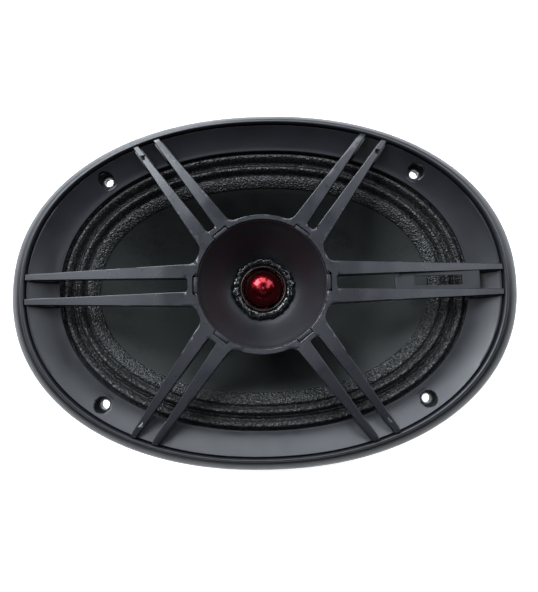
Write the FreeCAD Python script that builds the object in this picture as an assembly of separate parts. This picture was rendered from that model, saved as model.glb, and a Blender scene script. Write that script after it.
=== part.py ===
import FreeCAD, Part
import math
import os

# Oval two-way car loudspeaker, millimetres. +X is the long axis, +Y the short axis, +Z the front.
# The origin is the centre of the steel flange's back face.

# Driving dimensions ---------------------------------------------------------------------------
RIM_FULLNESS = 2.15            # exponent of the outer ovals; 2 is an ellipse
TRIM_A, TRIM_B = 124.9, 88.2   # outer edge of the trim ring
GAP_A, GAP_B = 116.0, 81.8     # inner crest of the trim ring
TRIM_CREST_Z = 11.2
TRIM_WALL = 2.1

DISH_A, DISH_B = 115.6, 81.4   # outer edge of the sloping bezel
DISH_IN_A, DISH_IN_B = 101.0, 70.0
DISH_EDGE_Z, DISH_IN_Z = 9.4, 4.0
DISH_WALL = 2.0
PAD_TOP_Z = 9.5                # underside of the bars, where they rest on the bezel's pads
PAD_EXTRA = 0.5                # the pads are this much wider than a bar on each side

SCREW_X, SCREW_Y = 156.0, 112.0
SCREW_HOLE_R = 2.1
BEZEL_HOLE_R = 3.85
BOSS_R = 5.4

FLANGE_A, FLANGE_B = 119.5, 83.0
FLANGE_T = 1.0
BASKET_A, BASKET_B = 102.5, 71.5   # outside of the basket's wall at the flange
STEEL_T = 1.0

HUB_R_IN, HUB_R_OUT = 31.2, 33.7
HUB_TOP_Z = 15.0
HUB_FLAT_R = 48.0              # the guard is flat to here, then falls towards its rim
BAR_END_Z = 11.4
SLOT_START_R = 35.6
HUB_FILLET, SLOT_FILLET = 4.5, 1.4
BAR_HUB_R = 37.4
DIAGONAL_HUB = (24.8, 28.0)    # where a diagonal pair's centreline starts
DIAGONAL_END = (56.3, 71.75)
TAB_ANGLE = 51.8               # degrees from the long axis to the diagonal clips
TAB_LENGTH, TAB_DEPTH = 7.8, 1.7

LAND_A, LAND_B = 104.3, 73.3   # outer edge of the surround's landing
ROLL_1_A, ROLL_1_B = 98.3, 67.6
ROLL_PITCH = 6.4
ROLL_HALF = 2.45
CLOTH_T = 0.5
LAND_Z = 1.5                   # top of the surround's outer land
CONE_A, CONE_B = 81.0, 51.0    # where the surround's inner land ends on the cone
CONE_T = 0.8
NECK_Z = -42.0
CAP_R, CAP_APEX_Z = 22.4, -29.5

COIL_R = 12.95                 # outside of the coil former
SPIDER_R = 46.0
SPIDER_Z = -45.0
BASKET_FLOOR_Z = -54.0
PLATE_R, PLATE_T, PLATE_BORE_R = 45.0, 6.0, 14.2
MAGNET_R, MAGNET_BORE_R, MAGNET_T = 50.0, 24.0, 16.0
BACK_T = 6.0
POLE_R = 12.3
CLEARANCE = 0.3                # between curved faces of a moving part and its neighbours

THROAT_Z = -5.0
BULLET_R, BULLET_TIP_Z = 10.3, 3.0
HOUSING_R, HOUSING_FLOOR_Z = 17.5, -23.0
TWEETER_COIL_R = 11.1
TWEETER_YOKE_TOP_Z = -11.4

LEAD_R, TINSEL_R = 0.5, 0.8
TWEETER_LEAD_Y = (-6.0, -7.4)
BOARD_Z = -21.0
TERMINAL_Y = 9.0

OVAL_POINTS = 32


# Shape helpers --------------------------------------------------------------------------------
def oval_edge(a, b, z, fullness):
    """A smooth closed curve: an ellipse whose shoulders are fuller when fullness is above 2."""
    points = []
    for i in range(OVAL_POINTS):
        t = 2 * math.pi * i / OVAL_POINTS
        c, s = math.cos(t), math.sin(t)
        k = (abs(c) ** fullness + abs(s) ** fullness) ** (-1 / fullness)
        points.append(FreeCAD.Vector(a * c * k, b * s * k, z))
    curve = Part.BSplineCurve()
    curve.interpolate(points, PeriodicFlag=True)
    return curve.toShape()


def oval_stack(stations):
    """A solid through level ovals, each (a, b, z, fullness), from one end to the other."""
    wires = [Part.Wire(oval_edge(*s)) for s in stations]
    return Part.makeLoft(wires, True, True)


def oval_ring(stations, smooth=0):
    """A closed ring whose section visits the stations (a, b, z, fullness) in turn.

    The first few stations, as many as smooth says, share one curved face."""
    edges = [oval_edge(*s) for s in stations]
    faces = []
    if smooth:
        faces = Part.makeLoft([Part.Wire(e) for e in edges[:smooth]], False, False).Faces
        edges = edges[smooth - 1:] + edges[:1]
    else:
        edges.append(edges[0])
    faces += [Part.makeRuledSurface(e, f) for e, f in zip(edges, edges[1:])]
    shell = Part.Shell(faces)
    shell.sewShape()
    solid = Part.Solid(shell)
    if solid.Volume < 0:
        solid.reverse()
    return solid


def oval_prism(a, b, low, high, fullness=2.0):
    return oval_stack([(a, b, low, fullness), (a, b, high, fullness)])


def flat_ring(outer, inner, low, high):
    """A ring with flat faces between two ovals, each (a, b)."""
    plate, hole = [Part.Face(Part.Wire(oval_edge(a, b, low, RIM_FULLNESS))) for a, b in (outer, inner)]
    return plate.cut(hole).Faces[0].extrude(FreeCAD.Vector(0, 0, high - low))


def turned(points):
    """A solid of revolution about Z from a closed outline of (radius, z) points."""
    corners = [FreeCAD.Vector(r, 0, z) for r, z in points]
    face = Part.Face(Part.makePolygon(corners + corners[:1]))
    return face.revolve(FreeCAD.Vector(0, 0, 0), FreeCAD.Vector(0, 0, 1), 360)


def disc(radius, low, high, x=0.0, y=0.0):
    return Part.makeCylinder(radius, high - low, FreeCAD.Vector(x, y, low))


def tube_ring(outer, inner, low, high, x=0.0, y=0.0):
    return disc(outer, low, high, x, y).cut(disc(inner, low - 1, high + 1, x, y))


def block(x0, x1, y0, y1, z0, z1):
    return Part.makeBox(x1 - x0, y1 - y0, z1 - z0, FreeCAD.Vector(x0, y0, z0))


def arc_points(centre, radius, start, end, count):
    """Points on an arc in (radius, z), angles in degrees."""
    step = (end - start) / (count - 1)
    angles = [math.radians(start + step * i) for i in range(count)]
    return [(centre[0] + radius * math.cos(a), centre[1] + radius * math.sin(a)) for a in angles]


def rounded_path(points, bend):
    """Straight runs joined by tangent arcs, as one wire."""
    points = [FreeCAD.Vector(*p) for p in points]
    edges = []
    start = points[0]
    for before, corner, after in zip(points, points[1:], points[2:]):
        into = (corner - before).normalize()
        out = (after - corner).normalize()
        turn = into.getAngle(out)
        cut = min(bend * math.tan(turn / 2), 0.45 * (corner - before).Length,
                  0.45 * (after - corner).Length)
        arc_start = corner - into * cut
        arc_end = corner + out * cut
        radius = cut / math.tan(turn / 2)
        inward = (out - into).normalize()
        middle = corner + inward * (radius / math.cos(turn / 2) - radius)
        edges.append(Part.LineSegment(start, arc_start).toShape())
        edges.append(Part.Arc(arc_start, middle, arc_end).toShape())
        start = arc_end
    edges.append(Part.LineSegment(start, points[-1]).toShape())
    return Part.Wire(edges)


def tube(points, radius, bend):
    path = rounded_path(points, bend)
    direction = FreeCAD.Vector(*points[1]) - FreeCAD.Vector(*points[0])
    circle = Part.Wire(Part.makeCircle(radius, FreeCAD.Vector(*points[0]), direction))
    return path.makePipeShell([circle], True, False)


def screw_places():
    return [(sx * SCREW_X / 2, sy * SCREW_Y / 2) for sx in (-1, 1) for sy in (-1, 1)]


# Trim and bezel -------------------------------------------------------------------------------
def make_trim_ring():
    outside = [(TRIM_A, TRIM_B, 0.2), (TRIM_A, TRIM_B, 2.4), (124.5, 87.9, 4.6), (123.3, 87.1, 6.7),
               (121.5, 85.75, 8.6), (119.5, 84.3, 10.1), (117.9, 83.15, 10.9)]
    crest = [(117.1, 82.6, TRIM_CREST_Z), (116.4, 82.1, 11.1), (GAP_A, GAP_B, 10.6),
             (GAP_A, GAP_B, FLANGE_T)]
    inside = [(117.9, 83.1, FLANGE_T), (117.9, 83.1, 8.3), (119.0, 83.9, 7.8), (120.9, 85.2, 6.0),
              (122.3, 86.3, 4.0), (122.8, 86.5, 2.2), (122.8, 86.5, 0.2)]
    return oval_ring([(a, b, z, RIM_FULLNESS) for a, b, z in outside + crest + inside])


def dish_top():
    """The bezel's front face from its outer edge inwards, hollow like a bowl, as (a, b, z, fullness)."""
    spans = 7
    stations = []
    for i in range(spans + 1):
        u = 1 - i / spans
        fall = (DISH_EDGE_Z - DISH_IN_Z) * u ** 1.4
        a = DISH_IN_A + 0.4 + (DISH_A - 0.6 - DISH_IN_A) * u
        b = DISH_IN_B + 0.35 + (DISH_B - 0.55 - DISH_IN_B) * u
        stations.append((a, b, DISH_IN_Z + fall, RIM_FULLNESS))
    return stations


def make_bezel_dish():
    full = RIM_FULLNESS
    top = dish_top()
    lip = (DISH_IN_A, DISH_IN_B, DISH_IN_Z - 0.5, full)
    rim = (DISH_A, DISH_B, DISH_EDGE_Z - 0.3, full)
    underside = [(DISH_IN_A + 0.1, DISH_IN_B + 0.1, DISH_WALL + 0.1, full), (105.0, 73.2, 2.8, full),
                 (108.5, 75.9, 4.1, full), (111.5, 78.2, 5.6, full), (113.1, 79.45, 6.8, full),
                 (113.1, 79.45, FLANGE_T, full), (DISH_A, DISH_B, FLANGE_T, full)]
    dish = oval_ring(top + [lip] + underside + [rim], len(top))
    bottom = [(DISH_IN_A, DISH_IN_B, FLANGE_T, full), (DISH_A, DISH_B, FLANGE_T, full)]
    filled = oval_ring(top + [lip] + bottom + [rim], len(top))
    bosses = [disc(BOSS_R, 0, DISH_EDGE_Z, x, y).common(filled) for x, y in screw_places()]
    band = oval_prism(114.3, 80.35, DISH_WALL + 1.0, PAD_TOP_Z, RIM_FULLNESS)
    band = band.cut(oval_prism(DISH_IN_A + 0.4, DISH_IN_B + 0.4, 0, 20, RIM_FULLNESS))
    pads = [prism(bar, 0, 20).common(band) for bar in all_bars(PAD_EXTRA)]
    dish = dish.fuse(bosses + pads)
    holes = [disc(BEZEL_HOLE_R, -5, 20, x, y) for x, y in screw_places()]
    bores = [tube(tweeter_lead_route(y), LEAD_R + 0.12, 2.0) for y in TWEETER_LEAD_Y]
    return dish.cut(holes + bores)


def make_surround_gasket():
    full = RIM_FULLNESS
    ring = oval_ring([(LAND_A, LAND_B, LAND_Z, full), (LAND_A, LAND_B, 2.0, full),
                      (101.6, 70.6, 2.0, full), (101.6, 70.6, LAND_Z, full)])
    return ring.cut(boss_clearances())


def boss_clearances():
    return [disc(BOSS_R + CLEARANCE, 0, 10, x, y) for x, y in screw_places()]


def make_mounting_eyelets():
    eyelets = []
    for x, y in screw_places():
        barrel = tube_ring(2.85, SCREW_HOLE_R, FLANGE_T, 2.4, x, y)
        collar = tube_ring(3.6, SCREW_HOLE_R, FLANGE_T, 1.5, x, y)
        eyelets.append(barrel.fuse(collar).removeSplitter())
    return Part.makeCompound(eyelets)


def make_rear_gasket():
    ring = flat_ring((119.0, 82.6), (107.8, 72.3), -1.5, 0)
    return ring.cut([disc(2.4, -5, 5, x, y) for x, y in screw_places()])


# Spoke guard ----------------------------------------------------------------------------------
def pair_frames():
    """Each pair of bars: its start, its outward direction, its half widths at hub and end."""
    straight = dict(slot=(3.25, 4.6), edge=(10.0, 7.45), length=DISH_A - BAR_HUB_R)
    dx, dy = DIAGONAL_END[0] - DIAGONAL_HUB[0], DIAGONAL_END[1] - DIAGONAL_HUB[1]
    length = math.hypot(dx, dy)
    slanted = dict(slot=(2.3, 3.85), edge=(9.3, 6.55), length=length)
    pairs = []
    for sx in (1, -1):
        pairs.append(((sx * BAR_HUB_R, 0.0), (sx, 0.0), straight))
        for sy in (1, -1):
            start = (sx * DIAGONAL_HUB[0], sy * DIAGONAL_HUB[1])
            pairs.append((start, (sx * dx / length, sy * dy / length), slanted))
    return pairs


def along(start, direction, distance, side):
    """A plan point at a distance along a pair's centreline and to one side of it."""
    return (start[0] + direction[0] * distance - direction[1] * side,
            start[1] + direction[1] * distance + direction[0] * side)


def all_bars(extra=0.0):
    """Plan outlines of the twelve bars, each widened by extra on both sides."""
    overrun = 8.0
    bars = []
    for start, direction, sizes in pair_frames():

        def width(name, distance):
            near, far = sizes[name]
            return near + (far - near) * distance / sizes["length"]

        far = sizes["length"] + overrun
        for side in (1, -1):
            outline = [(0.0, width("slot", 0) - extra), (far, width("slot", far) - extra),
                       (far, width("edge", far) + extra), (0.0, width("edge", 0) + extra)]
            bars.append([along(start, direction, d, side * w) for d, w in outline])
    return bars


def prism(outline, low, high):
    corners = [FreeCAD.Vector(x, y, low) for x, y in outline]
    face = Part.Face(Part.makePolygon(corners + corners[:1]))
    return face.extrude(FreeCAD.Vector(0, 0, high - low))


def clip_angles():
    return [0.0, TAB_ANGLE, 180.0 - TAB_ANGLE, 180.0, 180.0 + TAB_ANGLE, 360.0 - TAB_ANGLE]


def clip_block(angle, length, depth, low, high):
    shape = block(HUB_R_IN - 1.5, HUB_R_IN + depth, -length / 2, length / 2, low, high)
    shape.rotate(FreeCAD.Vector(0, 0, 0), FreeCAD.Vector(0, 0, 1), angle)
    return shape


def pair_outline(frame, name, distances):
    """The outline between a pair's two edges of one kind, slot or edge, over a span of distances."""
    start, direction, sizes = frame
    near, far = sizes[name]
    near_d, far_d = distances

    def half(d):
        return near + (far - near) * d / sizes["length"]

    corners = [(near_d, -half(near_d)), (far_d, -half(far_d)), (far_d, half(far_d)), (near_d, half(near_d))]
    return [along(start, direction, d, s) for d, s in corners]


def flat_face(outline):
    corners = [FreeCAD.Vector(x, y, 0) for x, y in outline]
    return Part.Face(Part.makePolygon(corners + corners[:1]))


def guard_plan():
    """The guard seen from the front: hub and pairs with rounded corners, less the slots."""
    overrun = 8.0
    hub = Part.Face(Part.Wire(Part.makeCircle(HUB_R_OUT)))
    inner = BAR_HUB_R - HUB_R_IN + 12.0
    plates = [flat_face(pair_outline(f, "edge", (-inner, f[2]["length"] + overrun))) for f in pair_frames()]
    plan = hub.fuse(plates).removeSplitter().Faces[0]
    plan = plan.makeOffset2D(HUB_FILLET).makeOffset2D(-HUB_FILLET)
    plan = plan.extrude(FreeCAD.Vector(0, 0, 20))
    slots = []
    for frame in pair_frames():
        near = SLOT_START_R - BAR_HUB_R
        slot = flat_face(pair_outline(frame, "slot", (near, frame[2]["length"] + overrun)))
        slot = slot.makeOffset2D(-SLOT_FILLET).makeOffset2D(SLOT_FILLET)
        slots.append(slot.extrude(FreeCAD.Vector(0, 0, 20)))
    plan = plan.cut(slots)
    return plan.common(oval_prism(DISH_A, DISH_B, -1, 21, RIM_FULLNESS))


def guard_crown():
    """The solid under the guard's front: flat over the hub, then an even fall to the rim."""
    full = RIM_FULLNESS
    stations = [(119.0, 84.6, PAD_TOP_Z, full), (119.0, 84.6, BAR_END_Z - 0.25, full)]
    spans = 6
    for i in range(spans + 1):
        u = 1 - i / spans
        a = HUB_FLAT_R + 4.0 + (DISH_A - HUB_FLAT_R - 4.0) * u
        b = HUB_FLAT_R + 4.0 + (DISH_B - HUB_FLAT_R - 4.0) * u
        fall = 0.35 + (HUB_TOP_Z - 0.35 - BAR_END_Z) * u ** 1.2
        stations.append((a, b, HUB_TOP_Z - fall, 2.0 + (full - 2.0) * u))
    stations += [(HUB_FLAT_R + 1.5, HUB_FLAT_R + 1.5, HUB_TOP_Z - 0.12, 2.0),
                 (HUB_FLAT_R, HUB_FLAT_R, HUB_TOP_Z, 2.0)]
    return oval_stack(stations)


def make_spoke_guard():
    plan = guard_plan()
    crown = guard_crown()
    guard = plan.common(crown)
    guard = guard.cut(disc(HUB_R_IN, -5, 25))
    low, high = HUB_TOP_Z - 3.0, HUB_TOP_Z + 1
    notches = [clip_block(a, TAB_LENGTH + 0.5, TAB_DEPTH, low, high) for a in clip_angles()]
    guard = guard.cut(notches)
    channels = [tube(tweeter_lead_route(y), LEAD_R + 0.12, 2.0) for y in TWEETER_LEAD_Y]
    return guard.cut(channels).removeSplitter()


def make_badge_frame():
    x0, x1, bottom, top = 63.7, 104.0, 10.2, 12.0
    near, far = pair_frames()[0][2]["slot"]

    def half_slot(x):
        return near + (far - near) * (x - BAR_HUB_R) / (DISH_A - BAR_HUB_R)

    chamfer = 3.0
    outline = [(x0, -half_slot(x0)), (x1, -half_slot(x1)), (x1, half_slot(x1)),
               (x0 + chamfer, half_slot(x0 + chamfer)), (x0, half_slot(x0) - 2.2)]
    plate = prism(outline, bottom, top)
    return plate.cut(block(73.0, 95.6, -2.3, 2.3, 0, 20))


# Cone assembly --------------------------------------------------------------------------------
def make_surround():
    stations = [(LAND_A, LAND_B, LAND_Z), (101.0, 70.7, LAND_Z)]
    for centre, half, height in ((0.0, ROLL_HALF, 2.4), (ROLL_PITCH, ROLL_HALF - 0.1, 2.2)):
        for i in range(7):
            across = -half + 2 * half * i / 6
            rise = height * math.cos(math.pi / 2 * across / half) ** 0.8 if 0 < i < 6 else 0.0
            inset = centre + across
            stations.append((ROLL_1_A - inset, ROLL_1_B - inset, LAND_Z + rise))
    stations += [(86.4, 56.3, 0.8), (83.7, 53.7, -0.9), (CONE_A, CONE_B, -2.7)]
    top = [(a, b, z, RIM_FULLNESS) for a, b, z in stations]
    under = [(a, b, z - CLOTH_T, RIM_FULLNESS) for a, b, z in reversed(stations)]
    return oval_ring(top + under).cut(boss_clearances())


def cone_face():
    """The cone's front face from its rim to the round neck, as (a, b, z, fullness)."""
    full = RIM_FULLNESS
    return [(86.2, 56.2, 0.0, full), (83.7, 53.7, -1.7, full), (CONE_A, CONE_B, -3.5, full),
            (67.0, 44.2, -11.2, 2.1), (52.0, 37.4, -19.3, 2.05), (37.0, 29.8, -27.8, 2.0),
            (23.2, 23.2, -35.7, 2.0), (COIL_R + 0.05, COIL_R + 0.05, NECK_Z, 2.0)]


def make_cone():
    top = cone_face()
    under = [(a, b, z - CONE_T, full) for a, b, z, full in reversed(top)]
    return oval_ring(top + under)


def cone_eyelet_places():
    return [(45.0, 7.0), (45.0, -7.0)]


def make_cone_eyelets():
    """Brass lugs under the cone, where the tinsel leads end."""
    under = oval_stack([(a, b, z - CONE_T, full) for a, b, z, full in reversed(cone_face())])
    lugs = [disc(2.0, -26.2, -20.0, x, y).cut(under) for x, y in cone_eyelet_places()]
    return Part.makeCompound(lugs)


def make_dust_cap():
    edge_z = -35.7
    rise = CAP_APEX_Z - edge_z
    sphere_r = (CAP_R ** 2 + rise ** 2) / (2 * rise)
    centre = (0.0, CAP_APEX_Z - sphere_r)
    edge_angle = math.degrees(math.asin((edge_z - centre[1]) / sphere_r))
    outer = arc_points(centre, sphere_r, edge_angle, 90.0, 12)
    inner = arc_points(centre, sphere_r - 0.5, 90.0, edge_angle, 12)
    return turned(outer + inner)


def make_voice_coil_former():
    return tube_ring(COIL_R, COIL_R - 0.2, -66.0, -38.0)


def make_voice_coil_winding():
    return tube_ring(COIL_R + 0.5, COIL_R, -63.0, -51.0)


def make_spider():
    """The corrugated disc that keeps the coil centred."""
    inner = COIL_R + CLEARANCE + 0.1
    count = 36
    wave = []
    for i in range(count + 1):
        r = 17.0 + (SPIDER_R - 5.0 - 17.0) * i / count
        wave.append((r, SPIDER_Z + 0.4 + 1.1 * math.sin(2 * math.pi * 4.5 * i / count)))
    top = [(inner, SPIDER_Z + 0.4)] + wave + [(SPIDER_R, SPIDER_Z + 0.4)]
    return turned(top + [(r, z - 0.4) for r, z in reversed(top)])


# Basket and motor -----------------------------------------------------------------------------
def make_basket():
    full = RIM_FULLNESS
    outer = oval_stack([(BASKET_A, BASKET_B, FLANGE_T, full), (BASKET_A, BASKET_B, -4.0, full),
                        (100.8, 69.8, -15.0, full), (57.5, 54.5, SPIDER_Z + 1.0, 2.0),
                        (54.0, 51.5, SPIDER_Z - STEEL_T, 2.0), (42.0, 42.0, SPIDER_Z - STEEL_T, 2.0),
                        (42.0, 42.0, BASKET_FLOOR_Z, 2.0)])
    inner = oval_stack([(BASKET_A - STEEL_T, BASKET_B - STEEL_T, 5.0, full),
                        (BASKET_A - STEEL_T, BASKET_B - STEEL_T, -4.0, full), (99.6, 68.6, -15.0, full),
                        (56.2, 53.2, SPIDER_Z + 1.4, 2.0), (53.0, 50.5, SPIDER_Z, 2.0),
                        (41.0, 41.0, SPIDER_Z, 2.0), (41.0, 41.0, BASKET_FLOOR_Z + STEEL_T, 2.0)])
    shell = outer.cut(inner).cut(disc(PLATE_BORE_R + 4.0, -70, -50))
    flange = flat_ring((FLANGE_A, FLANGE_B), (BASKET_A - 0.5, BASKET_B - 0.5), 0, FLANGE_T)
    tongue = block(88.0, 106.0, -5.0, 5.0, BOARD_Z, BOARD_Z + STEEL_T).cut(inner)
    basket = shell.fuse([flange, tongue]).removeSplitter()
    holes = [disc(SCREW_HOLE_R, -5, 5, x, y) for x, y in screw_places()]
    holes += [basket_window(22.5 + 45.0 * i) for i in range(8)]
    holes.append(block(84.0, 112.0, -12.0, 12.0, BOARD_Z + STEEL_T, -13.5))
    holes += [disc(1.6, -60, -50, x, y) for x, y in rivet_places()]
    holes += [disc(1.3, -30, -10, 102.0, 0.0)]
    holes += [tube(tweeter_lead_route(y), LEAD_R + 0.12, 2.0) for y in TWEETER_LEAD_Y]
    return basket.cut(holes)


def basket_window(angle):
    """A rounded opening through the sloping wall, between two arms."""
    cutter = block(43.0, 130.0, -11.0, 11.0, -41.5, -18.5)
    cutter = cutter.fuse(prism([(60.0, -11.0), (120.0, -27.0), (120.0, 27.0), (60.0, 11.0)], -41.5, -18.5))
    cutter.rotate(FreeCAD.Vector(0, 0, 0), FreeCAD.Vector(0, 0, 1), angle)
    return cutter


def rivet_places():
    angles = [math.radians(45.0 + 90.0 * i) for i in range(4)]
    return [(33.0 * math.cos(a), 33.0 * math.sin(a)) for a in angles]


def make_motor_rivets():
    rivets = []
    for x, y in rivet_places():
        shank = disc(1.6, BASKET_FLOOR_Z - 3.0, BASKET_FLOOR_Z + STEEL_T, x, y)
        head = disc(3.0, BASKET_FLOOR_Z + STEEL_T, BASKET_FLOOR_Z + STEEL_T + 1.0, x, y)
        rivets.append(shank.fuse(head).removeSplitter())
    return Part.makeCompound(rivets)


def make_top_plate():
    top = BASKET_FLOOR_Z
    plate = tube_ring(PLATE_R, PLATE_BORE_R, top - PLATE_T, top)
    return plate.cut([disc(1.6, top - 3.0, top + 1, x, y) for x, y in rivet_places()])


def make_magnet():
    top = BASKET_FLOOR_Z - PLATE_T
    r, bore, low, edge = MAGNET_R, MAGNET_BORE_R, top - MAGNET_T, 1.2
    outside = [(r - edge, low), (r, low + edge), (r, top - edge), (r - edge, top)]
    return turned([(bore, low)] + outside + [(bore, top)])


def make_back_plate():
    top = BASKET_FLOOR_Z - PLATE_T - MAGNET_T
    low, r, vent = top - BACK_T, PLATE_R + 1.0, 4.0
    return turned([(vent, low), (r - 1.5, low), (r, low + 1.5), (r, top), (POLE_R + 2.0, top),
                   (POLE_R, top + 2.0), (POLE_R, BASKET_FLOOR_Z), (vent, BASKET_FLOOR_Z)])


# Terminals and leads --------------------------------------------------------------------------
def make_terminal_board():
    board = block(93.0, 107.5, -15.0, 15.0, BOARD_Z - 1.6, BOARD_Z)
    holes = [disc(1.3, -30, -10, x, y) for x, y in rivet_spots()]
    return board.cut(holes)


def rivet_spots():
    return [(102.0, 0.0), (102.0, TERMINAL_Y), (102.0, -TERMINAL_Y)]


def make_terminal_rivets():
    rivets = []
    for x, y in rivet_spots():
        top = BOARD_Z + (STEEL_T if y == 0 else 0.0)
        low = BOARD_Z - 1.6 - (0.0 if y == 0 else 0.8)
        shank = disc(1.3, low, top, x, y)
        heads = [disc(2.2, top, top + 0.8, x, y), disc(2.2, low - 0.8, low, x, y)]
        rivets.append(shank.fuse(heads).removeSplitter())
    return Part.makeCompound(rivets)


def make_tab(y, width):
    """A spade blade that hangs from the board, with its foot under a rivet."""
    low = BOARD_Z - 1.6
    foot = block(99.0, 105.8, y - width / 2, y + width / 2, low - 0.8, low)
    blade = block(105.0, 105.8, y - width / 2, y + width / 2, low - 12.0, low)
    tab = foot.fuse(blade).removeSplitter()
    along_x = FreeCAD.Vector(1, 0, 0)
    eye = Part.makeCylinder(0.9, 10.0, FreeCAD.Vector(100.0, y, low - 8.5), along_x)
    return tab.cut([disc(1.3, -40, -10, 102.0, y), eye])


def make_crossover_capacitor():
    radius = 3.6
    axis = FreeCAD.Vector(0, 1, 0)
    start = FreeCAD.Vector(96.0, -8.0, BOARD_Z - 1.6 - radius)
    return Part.makeCylinder(radius, 16.0, start, axis)


def tinsel_route(side):
    x, y = cone_eyelet_places()[0]
    return [(97.0, side * TERMINAL_Y, BOARD_Z), (97.0, side * TERMINAL_Y, -16.6), (83.0, side * 9.0, -17.4),
            (66.0, side * 8.4, -24.5), (53.0, side * 7.6, -33.0), (45.6, side * 7.2, -33.0),
            (x, side * y, -26.6)]


def tweeter_lead_route(y):
    start = math.sqrt(HOUSING_R ** 2 - (abs(y) - LEAD_R) ** 2)
    return [(start, y, -13.0), (24.5, y, -13.0), (34.5, y, 1.0), (37.6, y, 8.9), (106.6, y, 8.9),
            (106.6, y, -12.0), (104.2, y, -16.0), (104.2, y, BOARD_Z)]


# Tweeter --------------------------------------------------------------------------------------
def make_horn():
    """The waveguide cup, with six clips that sit in the hub ring's notches."""
    mouth = [(30.6, HUB_TOP_Z - 0.9), (29.6, 11.9), (28.0, 9.2), (25.6, 5.6), (22.6, 1.6), (19.4, -1.8),
             (16.6, -4.0), (15.2, THROAT_Z)]
    throat = [(11.2, THROAT_Z), (11.2, THROAT_Z - 1.5), (HOUSING_R, THROAT_Z - 1.5)]
    back = [(HOUSING_R, -4.4), (20.6, -2.8), (23.8, 0.4), (26.9, 4.4), (29.2, 7.8), (30.0, 9.5),
            (HUB_R_IN, 9.5), (HUB_R_IN, HUB_TOP_Z - 0.9)]
    cup = turned(mouth + throat + back)
    low, high = HUB_TOP_Z - 3.0, HUB_TOP_Z - 0.5
    clips = [clip_block(a, TAB_LENGTH, TAB_DEPTH - 0.3, low, high) for a in clip_angles()]
    clear = disc(30.6, HUB_TOP_Z - 6, HUB_TOP_Z + 2)
    return cup.fuse([c.cut(clear) for c in clips]).removeSplitter()


def make_glue_bead():
    return turned([(10.9, THROAT_Z), (10.9, -3.6)] + arc_points((13.4, -3.9), 2.3, 150.0, 20.0, 8)
                  + [(15.9, -4.3), (15.2, THROAT_Z)])


def make_tweeter_bullet():
    nose = arc_points((0.0, BULLET_TIP_Z - BULLET_R), BULLET_R, 90.0, 0.0, 16)
    base_z = THROAT_Z - 1.6
    stem = [(BULLET_R, base_z), (2.4, base_z), (2.4, -12.5), (0.0, -12.5)]
    return turned([(0.0, BULLET_TIP_Z)] + nose[1:] + stem)


def make_tweeter_housing():
    top = THROAT_Z - 1.5
    return turned([(0.0, HOUSING_FLOOR_Z), (HOUSING_R, HOUSING_FLOOR_Z), (HOUSING_R, top), (16.0, top),
                   (16.0, HOUSING_FLOOR_Z + 1.5), (0.0, HOUSING_FLOOR_Z + 1.5)])


def make_tweeter_yoke():
    low, top, wall = HOUSING_FLOOR_Z + 1.5, TWEETER_YOKE_TOP_Z, 12.2
    return turned([(0.0, low), (15.4, low), (15.4, top), (wall, top), (wall, low + 2.0), (0.0, low + 2.0)])


def make_tweeter_magnet():
    return disc(9.5, HOUSING_FLOOR_Z + 3.5, -15.5)


def make_tweeter_top_plate():
    return disc(10.3, -15.5, -12.5)


def make_tweeter_voice_coil():
    return tube_ring(TWEETER_COIL_R + 0.4, TWEETER_COIL_R, -16.5, -9.9)


def make_tweeter_diaphragm():
    """An annular dome with a centre hole for the bullet's stem."""
    crown = arc_points((7.65, -13.0), 5.2, 30.0, 150.0, 9)
    top = [(12.5, -10.4)] + crown + [(2.8, -10.4)]
    return turned(top + [(r, z - 0.2) for r, z in reversed(top)])


def make_tweeter_suspension():
    foot = TWEETER_YOKE_TOP_Z
    return turned([(12.8, -10.4), (13.4, -9.9), (14.0, -10.4), (15.4, -10.4), (15.4, foot),
                   (14.2, foot), (13.9, -10.7), (13.4, -10.2), (12.8, -10.7)])


# Every node and the shape it holds ------------------------------------------------------------
def nodes():
    upper, lower = 1, -1
    return {
        "trim_ring": make_trim_ring(),
        "bezel_dish": make_bezel_dish(),
        "spoke_guard": make_spoke_guard(),
        "badge_frame": make_badge_frame(),
        "mounting_eyelets": make_mounting_eyelets(),
        "rear_gasket": make_rear_gasket(),
        "surround_gasket": make_surround_gasket(),
        "surround": make_surround(),
        "cone": make_cone(),
        "cone_eyelets": make_cone_eyelets(),
        "dust_cap": make_dust_cap(),
        "voice_coil_former": make_voice_coil_former(),
        "voice_coil_winding": make_voice_coil_winding(),
        "spider": make_spider(),
        "basket": make_basket(),
        "motor_rivets": make_motor_rivets(),
        "top_plate": make_top_plate(),
        "magnet": make_magnet(),
        "back_plate": make_back_plate(),
        "terminal_board": make_terminal_board(),
        "terminal_rivets": make_terminal_rivets(),
        "positive_tab": make_tab(TERMINAL_Y, 6.3),
        "negative_tab": make_tab(-TERMINAL_Y, 4.8),
        "crossover_capacitor": make_crossover_capacitor(),
        "tinsel_lead_positive": tube(tinsel_route(upper), TINSEL_R, 6.0),
        "tinsel_lead_negative": tube(tinsel_route(lower), TINSEL_R, 6.0),
        "tweeter_lead_positive": tube(tweeter_lead_route(TWEETER_LEAD_Y[0]), LEAD_R, 2.0),
        "tweeter_lead_negative": tube(tweeter_lead_route(TWEETER_LEAD_Y[1]), LEAD_R, 2.0),
        "horn": make_horn(),
        "glue_bead": make_glue_bead(),
        "tweeter_bullet": make_tweeter_bullet(),
        "tweeter_housing": make_tweeter_housing(),
        "tweeter_yoke": make_tweeter_yoke(),
        "tweeter_magnet": make_tweeter_magnet(),
        "tweeter_top_plate": make_tweeter_top_plate(),
        "tweeter_voice_coil": make_tweeter_voice_coil(),
        "tweeter_diaphragm": make_tweeter_diaphragm(),
        "tweeter_suspension": make_tweeter_suspension(),
    }


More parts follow.
